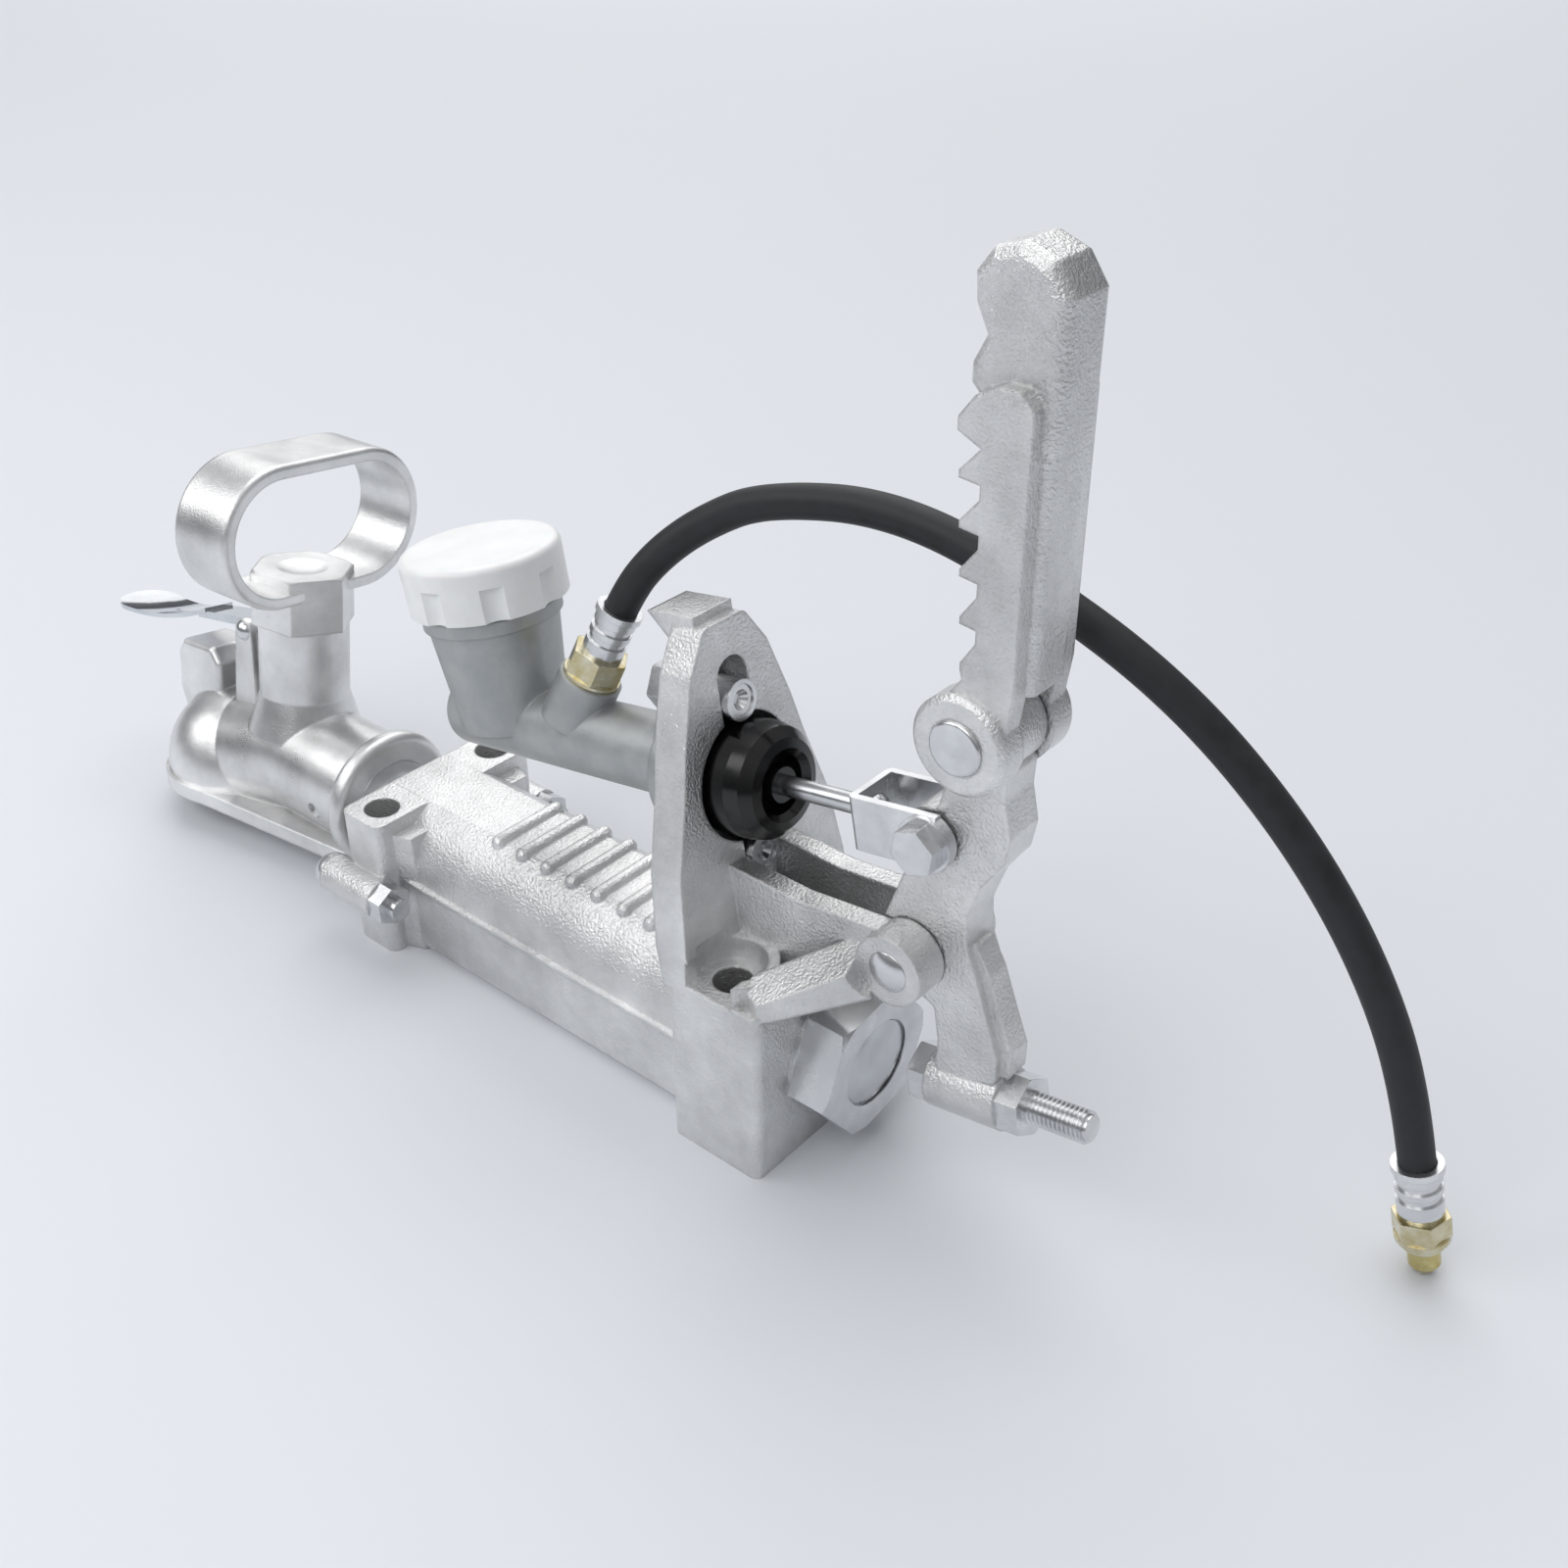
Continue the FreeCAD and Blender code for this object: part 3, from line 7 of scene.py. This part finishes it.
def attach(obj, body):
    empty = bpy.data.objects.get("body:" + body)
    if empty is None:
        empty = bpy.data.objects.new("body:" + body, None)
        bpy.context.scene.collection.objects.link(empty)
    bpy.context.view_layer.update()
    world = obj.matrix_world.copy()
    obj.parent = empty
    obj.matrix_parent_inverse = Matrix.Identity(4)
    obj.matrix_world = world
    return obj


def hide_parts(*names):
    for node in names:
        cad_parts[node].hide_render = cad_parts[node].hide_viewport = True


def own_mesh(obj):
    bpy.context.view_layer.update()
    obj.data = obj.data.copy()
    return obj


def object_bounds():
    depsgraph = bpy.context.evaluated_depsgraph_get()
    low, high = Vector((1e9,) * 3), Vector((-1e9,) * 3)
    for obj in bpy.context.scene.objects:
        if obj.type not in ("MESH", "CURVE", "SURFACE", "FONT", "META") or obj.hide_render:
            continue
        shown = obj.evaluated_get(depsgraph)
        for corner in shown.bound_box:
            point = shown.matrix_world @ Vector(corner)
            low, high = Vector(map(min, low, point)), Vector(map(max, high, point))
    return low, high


bl_info = {
    "name": "Brake actuator finishes",
    "version": (1, 0, 0),
    "blender": (4, 5, 0),
    "location": "View3D > Sidebar > Actuator",
    "description": "Finishes, hose, stage and camera for a trailer coupling with hydraulic brake actuator",
    "category": "Object",
}

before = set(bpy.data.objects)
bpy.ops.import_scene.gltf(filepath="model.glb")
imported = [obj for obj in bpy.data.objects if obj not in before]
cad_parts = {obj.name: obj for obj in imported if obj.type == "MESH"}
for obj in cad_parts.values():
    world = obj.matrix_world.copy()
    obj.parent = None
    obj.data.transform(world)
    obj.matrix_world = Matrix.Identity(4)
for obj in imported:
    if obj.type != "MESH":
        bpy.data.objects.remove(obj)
CAD_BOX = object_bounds()
MM = 0.001

# Pieces by the way they were made
ROUGH_CASTINGS = ("housing", "brake_lever", "handbrake_handle")
HEAD_CASTINGS = ("coupling_head", "lift_handle", "tower_cap")
ALUMINIUM_CASTINGS = ("master_cylinder",)
PLATED_FASTENERS = (
    "side_bolts", "side_nuts", "pivot_pin", "flange_bolts", "flange_sleeves", "adjuster_bolt", "adjuster_nut",
    "handle_pin", "clevis_bolt", "clevis_washers", "clevis_nut", "shaft_nut", "thrust_washer", "nut_pin",
    "head_pin", "handle_cross_pin", "latch_rivet", "retaining_ring",
)
PLATED_SHEET = ("clevis", "latch_stud")
TURNED_STEEL = ("shaft", "push_rod", "lock_plunger", "ball_keeper")
COILED_STEEL = ("return_spring", "plunger_spring", "latch_spring")
BEARINGS = ("front_bush", "rear_bush")
RUBBER_PIECES = ("boot", "piston_cups", "cap_seal")
HOSE_SLEEVES = ("near_ferrule", "far_ferrule")
HOSE_FITTINGS = ("hose_fitting", "end_fitting")

# Hose centre line from its fitting to its free end, in metres
HOSE_ROUTE = (
    (0.0068, 0.0056, 0.1460), (0.0117, 0.0095, 0.1602), (0.0195, 0.0156, 0.1728), (0.0318, 0.0226, 0.1844),
    (0.0516, 0.0286, 0.1960), (0.0955, 0.0345, 0.2035), (0.1420, 0.0385, 0.1918), (0.1830, 0.0450, 0.1715),
    (0.2170, 0.0515, 0.1415), (0.2445, 0.0572, 0.1050), (0.2646, 0.0611, 0.0637), (0.2734, 0.0619, 0.0294),
)

# Noise values between which a surface goes from dark to light, and from its first gloss to its second
SHADE_SPREAD = (0.34, 0.66)
GLOSS_SPREAD = (0.3, 0.7)

# Softboxes: name, place and side in metres, power in watts
SOFTBOXES = (
    ("back_softbox", (-2.6, 3.0, 2.7), 4.2, 60.0),
    ("front_softbox", (0.1, -1.2, 1.3), 1.0, 6.5),
    ("side_softbox", (-1.1, -1.05, 1.25), 1.1, 8.0),
)
LAMP_TARGET = Vector((-0.02, 0.0, 0.1))

# Wide, soft light from a window behind the part
WINDOW_DIRECTION = Vector((0.35, -0.5, -1.5))
WINDOW_SPREAD = math.radians(50)
WINDOW_POWER = 0.85

# Room light: colours at the horizon and overhead, sRGB hex, and the heights where they start
ROOM_LOW = "76797d"
ROOM_HIGH = "eff0f2"
ROOM_HEIGHTS = (0.05, 0.75)
ROOM_STRENGTH = 0.62


def linear(hex_code):
    values = [int(hex_code[i:i + 2], 16) / 255 for i in (0, 2, 4)]
    return tuple(v / 12.92 if v <= 0.04045 else ((v + 0.055) / 1.055) ** 2.4 for v in values)


def add_node(tree, kind, settings=None, links=None):
    node = tree.nodes.new(kind)
    for key, value in (settings or {}).items():
        if key in node.inputs:
            node.inputs[key].default_value = value
        else:
            setattr(node, key, value)
    for key, socket in (links or {}).items():
        tree.links.new(socket, node.inputs[key])
    return node


def surface(name, dark, light, patch_mm, grain_mm, depth_mm, roughness, sockets, edge_mm=0.0):
    """A material with patches of colour and gloss, a fine relief and rounded edges, in millimetres."""
    material = bpy.data.materials.new(name)
    material.use_nodes = True
    tree = material.node_tree
    tree.nodes.clear()
    place = add_node(tree, "ShaderNodeTexCoord").outputs["Object"]
    patches = add_node(tree, "ShaderNodeTexNoise",
                       {"Scale": 1 / (patch_mm * MM), "Detail": 5.0, "Roughness": 0.62},
                       {"Vector": place})
    ramp = add_node(tree, "ShaderNodeValToRGB", links={"Fac": patches.outputs["Fac"]})
    for stop, position, colour in zip(ramp.color_ramp.elements, SHADE_SPREAD, (dark, light)):
        stop.position = position
        stop.color = (*linear(colour), 1)
    gloss = add_node(tree, "ShaderNodeMapRange",
                     {"From Min": GLOSS_SPREAD[0], "From Max": GLOSS_SPREAD[1],
                      "To Min": roughness[0], "To Max": roughness[1]},
                     {"Value": patches.outputs["Fac"]})
    grain = add_node(tree, "ShaderNodeTexNoise",
                     {"Scale": 1 / (grain_mm * MM), "Detail": 3.0, "Roughness": 0.55},
                     {"Vector": place})
    relief = add_node(tree, "ShaderNodeBump", {"Strength": 1.0, "Distance": depth_mm * MM},
                      {"Height": grain.outputs["Fac"]})
    if edge_mm:
        rounding = add_node(tree, "ShaderNodeBevel", {"samples": 4, "Radius": edge_mm * MM})
        tree.links.new(rounding.outputs["Normal"], relief.inputs["Normal"])
    shader = add_node(tree, "ShaderNodeBsdfPrincipled", sockets,
                      {"Base Color": ramp.outputs["Color"], "Roughness": gloss.outputs["Result"],
                       "Normal": relief.outputs["Normal"]})
    add_node(tree, "ShaderNodeOutputMaterial", links={"Surface": shader.outputs["BSDF"]})
    return material


def zinc_on_sand_cast_iron(look):
    # Sand grain under bright zinc: a silvery, sparkling skin, a little duller in places
    return surface("zinc_plated_sand_cast_iron", look.zinc_shade, look.zinc_light, 45.0, look.sand_grain, 0.5,
                   (0.28, 0.38), {"Metallic": 0.9}, look.cast_edge)


def zinc_on_fine_cast_iron(look):
    # Finer moulding sand on the head: smoother silver with a soft, even gloss
    return surface("zinc_plated_fine_cast_iron", look.zinc_shade, look.zinc_light, 45.0,
                   look.sand_grain * 0.7, 0.1, (0.26, 0.36), {"Metallic": 0.9}, look.cast_edge)


def gravity_cast_aluminium(look):
    # Bare die skin: grey and satin, with cloudy flow marks
    return surface("gravity_cast_aluminium", "a4a7a8", "b6b8b8", 11.0, 0.9, 0.06, (0.42, 0.56),
                   {"Metallic": 0.75}, look.cast_edge)


def bright_zinc_on_cut_steel(look):
    # Turned and rolled faces under thin zinc: bright, with faint streaks of bluish tone
    return surface("bright_zinc_plated_steel", "cbccce", "e4e5e6", 12.0, 0.7, 0.012, (0.2, 0.3),
                   {"Metallic": 1.0}, look.cut_edge)


def ground_steel(look):
    # Ground and oiled bar: clean, even reflections
    return surface("ground_steel_bar", "c2c4c6", "d4d6d8", 12.0, 0.5, 0.006, (0.2, 0.28),
                   {"Metallic": 1.0}, look.cut_edge)


def oil_tempered_wire(look):
    # Drawn spring wire: dark grey with a soft shine
    return surface("oil_tempered_spring_wire", "4b4d50", "67696c", 4.0, 0.5, 0.01, (0.32, 0.42),
                   {"Metallic": 0.9})


def sintered_bronze(look):
    # Pressed and sintered bearing: brown gold, fine pores
    return surface("sintered_bronze", "8a6a3c", "a98650", 3.0, 0.4, 0.02, (0.38, 0.5), {"Metallic": 0.9})


def moulded_polypropylene(look):
    # Moulded cap: milky white with a soft plastic shine
    return surface("moulded_white_polypropylene", "eceded", "f4f5f5", 16.0, 0.8, 0.012, (0.3, 0.38),
                   {"IOR": 1.49, "Subsurface Weight": 0.12, "Subsurface Scale": 0.002})


def moulded_rubber(look):
    # Moulded boot and seals: black with a damp, smooth shine
    return surface("moulded_black_rubber", "050505", "0a0a0b", 6.0, 0.8, 0.015, (0.14, 0.24), {"IOR": 1.5})


def extruded_rubber(look):
    # Extruded hose cover: charcoal, nearly matt, with a fine cloth-like grain
    return surface("extruded_rubber_cover", look.hose_shade, "222528", 7.0, 0.9, 0.05, (0.5, 0.62),
                   {"IOR": 1.5})


def yellow_passivate(look):
    # Zinc dipped in a yellow passivate: pale gold drifting to green and rose
    return surface("yellow_passivated_steel", "b9ab7c", "dedac6", 7.0, 0.6, 0.012, (0.2, 0.3),
                   {"Metallic": 1.0}, look.cut_edge)


def turned_brass(look):
    # Turned brass tip: warm yellow, bright
    return surface("turned_brass", "b5a468", "d0c48f", 5.0, 0.4, 0.008, (0.2, 0.3), {"Metallic": 1.0})


def turned_aluminium(look):
    # Turned piston: pale satin grey
    return surface("turned_aluminium", "b9bbbd", "cbcdcf", 4.0, 0.5, 0.008, (0.26, 0.36), {"Metallic": 1.0})


def polished_chrome(look):
    # Pressed sheet under chrome: mirror bright with slight waviness
    return surface("chromed_pressed_sheet", "c9ccd0", "dcdee1", 20.0, 6.0, 0.03, (0.06, 0.12),
                   {"Metallic": 1.0})


def dress(names, material):
    for name in names:
        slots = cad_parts[name].data.materials
        slots.clear()
        slots.append(material)


def shortening(node, body, material):
    """A copy of the node's shape, with its own mesh and the given material, attached to the body in place of the
    node, which is hidden.
    """
    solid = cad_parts[node]
    piece = bpy.data.objects.new("live_" + node, solid.data.copy())
    bpy.context.collection.objects.link(piece)
    piece.matrix_world = solid.matrix_world
    piece.data.materials.clear()
    piece.data.materials.append(material)
    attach(piece, body)
    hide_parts(node)
    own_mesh(piece)


class ActuatorLook(bpy.types.PropertyGroup):
    """Sizes and colours of the finishes."""
    zinc_light: bpy.props.StringProperty(name="Zinc light", description="Bright zinc, sRGB hex",
                                         default="f1f1f1")
    zinc_shade: bpy.props.StringProperty(name="Zinc shade", description="Dull zinc, sRGB hex",
                                         default="c8c8c8")
    hose_shade: bpy.props.StringProperty(name="Hose shade", description="Hose rubber, sRGB hex",
                                         default="16181a")
    sand_grain: bpy.props.FloatProperty(name="Sand grain", description="Grain of the castings in millimetres",
                                        default=1.0, min=0.2, max=6.0)
    cast_edge: bpy.props.FloatProperty(name="Cast edge", description="Rounding of cast edges in millimetres",
                                       default=1.4, min=0.0, max=3.0)
    cut_edge: bpy.props.FloatProperty(name="Cut edge", description="Rounding of cut edges in millimetres",
                                      default=0.35, min=0.0, max=1.0)
    hose_diameter: bpy.props.FloatProperty(name="Hose diameter", description="Outside diameter of the hose",
                                           default=0.011, min=0.006, max=0.02, unit="LENGTH")


class ActuatorStage(bpy.types.PropertyGroup):
    """Floor and camera."""
    floor_colour: bpy.props.StringProperty(name="Floor", description="Floor paper, sRGB hex",
                                           default="dcdfe4")
    floor_size: bpy.props.FloatProperty(name="Floor size", description="Width of the floor", default=14.0,
                                        unit="LENGTH")
    camera_place: bpy.props.FloatVectorProperty(name="Camera place", description="Where the camera stands",
                                                default=(0.36131, -0.33262, 0.400), subtype="XYZ",
                                                unit="LENGTH")
    camera_azimuth: bpy.props.FloatProperty(name="Camera azimuth", description="Turn about the vertical",
                                            default=math.radians(39.9), subtype="ANGLE")
    camera_pitch: bpy.props.FloatProperty(name="Camera pitch", description="Angle below the horizon",
                                          default=math.radians(32.65), subtype="ANGLE")
    camera_lens: bpy.props.FloatProperty(name="Lens", description="Focal length in mm on a 36 mm frame",
                                         default=39.465)


class ACTUATOR_OT_castings(bpy.types.Operator):
    """Dress the housing, lever and handle as zinc plated sand castings"""
    bl_idname = "actuator.castings"
    bl_label = "Iron castings"

    def execute(self, context):
        look = context.scene.actuator_look
        dress(ROUGH_CASTINGS, zinc_on_sand_cast_iron(look))
        dress(HEAD_CASTINGS, zinc_on_fine_cast_iron(look))
        return {"FINISHED"}


class ACTUATOR_OT_cylinder(bpy.types.Operator):
    """Dress the master cylinder, its piston and its cap"""
    bl_idname = "actuator.cylinder"
    bl_label = "Master cylinder"

    def execute(self, context):
        look = context.scene.actuator_look
        dress(ALUMINIUM_CASTINGS, gravity_cast_aluminium(look))
        dress(("piston",), turned_aluminium(look))
        dress(("reservoir_cap",), moulded_polypropylene(look))
        rubber = moulded_rubber(look)
        dress(RUBBER_PIECES, rubber)
        shortening("boot", "frame", rubber)
        return {"FINISHED"}


class ACTUATOR_OT_steelwork(bpy.types.Operator):
    """Dress the fasteners, bar, springs, bearings and pressed sheet"""
    bl_idname = "actuator.steelwork"
    bl_label = "Steelwork"

    def execute(self, context):
        look = context.scene.actuator_look
        dress(PLATED_FASTENERS + PLATED_SHEET, bright_zinc_on_cut_steel(look))
        dress(TURNED_STEEL, ground_steel(look))
        wire = oil_tempered_wire(look)
        dress(COILED_STEEL, wire)
        shortening("return_spring", "frame", wire)
        shortening("plunger_spring", "tow_shaft", wire)
        dress(BEARINGS, sintered_bronze(look))
        dress(("thumb_latch",), polished_chrome(look))
        return {"FINISHED"}


class ACTUATOR_OT_hose(bpy.types.Operator):
    """Draw the brake hose along its route and dress its fittings"""
    bl_idname = "actuator.hose"
    bl_label = "Brake hose"

    def execute(self, context):
        look = context.scene.actuator_look
        curve = bpy.data.curves.new("brake_hose", "CURVE")
        curve.dimensions = "3D"
        curve.bevel_depth = look.hose_diameter / 2
        curve.bevel_resolution = 6
        curve.resolution_u = 16
        curve.use_fill_caps = True
        spline = curve.splines.new("NURBS")
        spline.points.add(len(HOSE_ROUTE) - 1)
        for point, place in zip(spline.points, HOSE_ROUTE):
            point.co = (*place, 1.0)
        spline.order_u = 3
        spline.use_endpoint_u = True
        hose = bpy.data.objects.new("brake_hose", curve)
        context.collection.objects.link(hose)
        curve.materials.append(extruded_rubber(look))
        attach(hose, "frame")
        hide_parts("hose")
        bright = bright_zinc_on_cut_steel(look)
        yellow = yellow_passivate(look)
        dress(HOSE_SLEEVES, bright)
        dress(HOSE_FITTINGS, yellow)
        dress(("end_tip",), turned_brass(look))
        return {"FINISHED"}


class ACTUATOR_OT_stage(bpy.types.Operator):
    """Lay the floor, hang the lamps and set the camera"""
    bl_idname = "actuator.stage"
    bl_label = "Stage"

    def execute(self, context):
        stage = context.scene.actuator_stage
        half = stage.floor_size / 2
        low = CAD_BOX[0][2]
        mesh = bpy.data.meshes.new("floor")
        corners = [(-half, -half, low), (half, -half, low), (half, half, low), (-half, half, low)]
        mesh.from_pydata(corners, [], [(0, 1, 2, 3)])
        floor = bpy.data.objects.new("floor", mesh)
        context.collection.objects.link(floor)
        # Matt paper: pale, with the faintest unevenness
        paper = surface("matt_floor_paper", stage.floor_colour, stage.floor_colour, 400.0, 1.5, 0.01, (0.7, 0.8),
                        {"IOR": 1.4, "Specular IOR Level": 0.25})
        mesh.materials.append(paper)
        self.lamps(context)
        self.sky(context)
        self.camera(context, stage)
        context.scene.view_settings.view_transform = "Standard"
        return {"FINISHED"}

    def lamps(self, context):
        sun = bpy.data.lights.new("window_light", "SUN")
        sun.energy = WINDOW_POWER
        sun.angle = WINDOW_SPREAD
        window = bpy.data.objects.new("window_light", sun)
        context.collection.objects.link(window)
        window.rotation_euler = WINDOW_DIRECTION.to_track_quat("-Z", "Y").to_euler()
        for name, place, size, power in SOFTBOXES:
            lamp = bpy.data.lights.new(name, "AREA")
            lamp.size = size
            lamp.energy = power
            holder = bpy.data.objects.new(name, lamp)
            context.collection.objects.link(holder)
            holder.location = place
            holder.rotation_euler = (LAMP_TARGET - Vector(place)).to_track_quat("-Z", "Y").to_euler()

    def sky(self, context):
        # A pale room: bright overhead, darker towards the horizon, so that bare metal has contrast
        world = bpy.data.worlds.new("pale_room")
        context.scene.world = world
        world.use_nodes = True
        tree = world.node_tree
        tree.nodes.clear()
        place = add_node(tree, "ShaderNodeTexCoord").outputs["Generated"]
        height = add_node(tree, "ShaderNodeSeparateXYZ", links={"Vector": place}).outputs["Z"]
        ramp = add_node(tree, "ShaderNodeValToRGB", links={"Fac": height})
        for stop, position, colour in zip(ramp.color_ramp.elements, ROOM_HEIGHTS, (ROOM_LOW, ROOM_HIGH)):
            stop.position = position
            stop.color = (*linear(colour), 1)
        glow = add_node(tree, "ShaderNodeBackground", {"Strength": ROOM_STRENGTH},
                        {"Color": ramp.outputs["Color"]})
        add_node(tree, "ShaderNodeOutputWorld", links={"Surface": glow.outputs["Background"]})

    def camera(self, context, stage):
        turn = stage.camera_azimuth
        pitch = stage.camera_pitch
        right = Vector((math.cos(turn), math.sin(turn), 0))
        back = Vector((math.sin(turn) * math.cos(pitch), -math.cos(turn) * math.cos(pitch), math.sin(pitch)))
        up = back.cross(right)
        lens = bpy.data.cameras.new("photo_camera")
        lens.sensor_width = 36.0
        lens.lens = stage.camera_lens
        camera = bpy.data.objects.new("photo_camera", lens)
        context.collection.objects.link(camera)
        turned = Matrix((right, up, back)).transposed().to_4x4()
        camera.matrix_world = Matrix.Translation(Vector(stage.camera_place)) @ turned
        context.scene.camera = camera


class ACTUATOR_PT_panel(bpy.types.Panel):
    """Buttons that dress the actuator"""
    bl_label = "Brake actuator"
    bl_idname = "ACTUATOR_PT_panel"
    bl_space_type = "VIEW_3D"
    bl_region_type = "UI"
    bl_category = "Actuator"

    def draw(self, context):
        for step in STEPS:
            self.layout.operator(step.bl_idname)
        for group in (context.scene.actuator_look, context.scene.actuator_stage):
            for key in group.bl_rna.properties.keys():
                if key not in ("rna_type", "name"):
                    self.layout.prop(group, key)


STEPS = (
    ACTUATOR_OT_castings, ACTUATOR_OT_cylinder, ACTUATOR_OT_steelwork, ACTUATOR_OT_hose, ACTUATOR_OT_stage,
)
CLASSES = (ActuatorLook, ActuatorStage) + STEPS + (ACTUATOR_PT_panel,)


def register():
    for cls in CLASSES:
        bpy.utils.register_class(cls)
    bpy.types.Scene.actuator_look = bpy.props.PointerProperty(type=ActuatorLook)
    bpy.types.Scene.actuator_stage = bpy.props.PointerProperty(type=ActuatorStage)


def unregister():
    del bpy.types.Scene.actuator_stage
    del bpy.types.Scene.actuator_look
    for cls in reversed(CLASSES):
        bpy.utils.unregister_class(cls)


def main():
    register()
    bpy.ops.actuator.castings()
    bpy.ops.actuator.cylinder()
    bpy.ops.actuator.steelwork()
    bpy.ops.actuator.hose()
    bpy.ops.actuator.stage()


if __name__ == "__main__":
    main()
